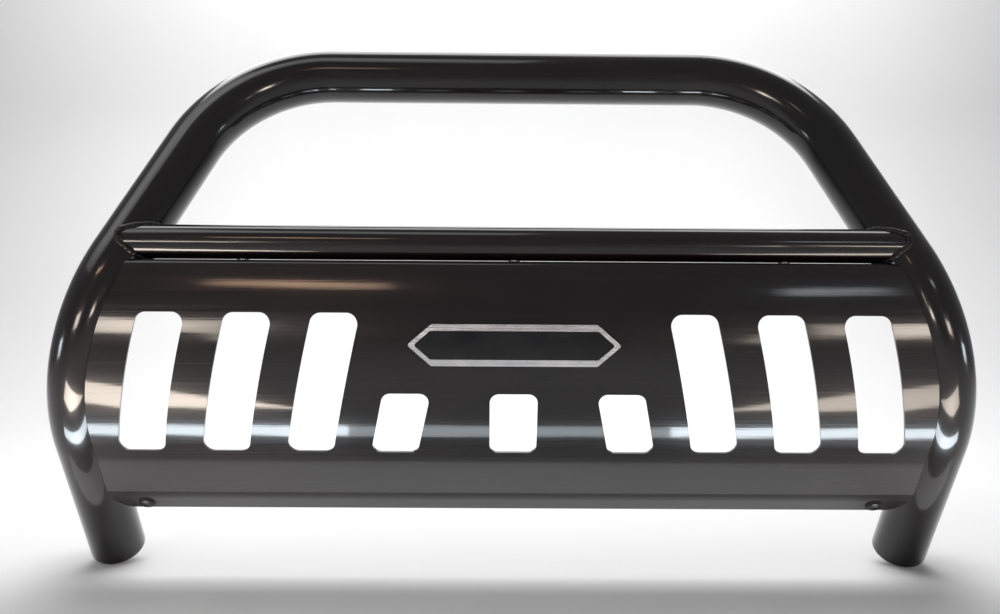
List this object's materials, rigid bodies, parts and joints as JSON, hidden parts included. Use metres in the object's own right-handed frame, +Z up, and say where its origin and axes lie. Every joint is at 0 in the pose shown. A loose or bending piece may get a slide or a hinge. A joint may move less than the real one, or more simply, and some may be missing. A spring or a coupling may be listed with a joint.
{
  "type": "front grille guard",
  "caption": "Bent tube front guard with a cross tube, a rolled slotted skid plate, a plain badge and rear mounting ears.",
  "frame": {"origin": "centre of the bounding box in X and Y, on the ground plane that the rims of the leg ends touch", "axes": "+X across the vehicle to its left side, +Y to the rear (the guard faces -Y), +Z up"},
  "size_m": [1.0354, 0.2205, 0.6295],
  "materials": {
    "tube_coat": "gloss black powder coat over steel tube",
    "plate_coat": "gloss black powder coat over rolled steel sheet, fine lengthwise grain",
    "bracket_coat": "semi-gloss black powder coat over steel plate",
    "plug_plastic": "moulded black polyethylene",
    "bolt_steel": "dark zinc plated steel",
    "washer_rubber": "black bonded rubber",
    "nut_steel": "clear zinc plated steel",
    "badge_metal": "satin anodised",
    "badge_enamel": "dark gloss infill",
    "tape_foam": "acrylic foam mounting tape"
  },
  "bodies": {
    "root": {"hoop_tube": "tube_coat", "cross_tube": "tube_coat", "skid_plate": "plate_coat", "frame_ear_left": "bracket_coat", "frame_ear_right": "bracket_coat", "skid_tab_left": "bracket_coat", "skid_tab_right": "bracket_coat", "end_plug_left": "plug_plastic", "end_plug_right": "plug_plastic", "skid_bolt_left": "bolt_steel", "skid_bolt_right": "bolt_steel", "skid_washer_left": "washer_rubber", "skid_washer_right": "washer_rubber", "skid_nut_left": "nut_steel", "skid_nut_right": "nut_steel", "flange_screws": "bolt_steel", "flange_washers": "nut_steel", "rivet_nuts": "nut_steel", "badge_frame": "badge_metal", "badge_inlay": "badge_enamel", "badge_tape": "tape_foam"}
  },
  "joints": []
}
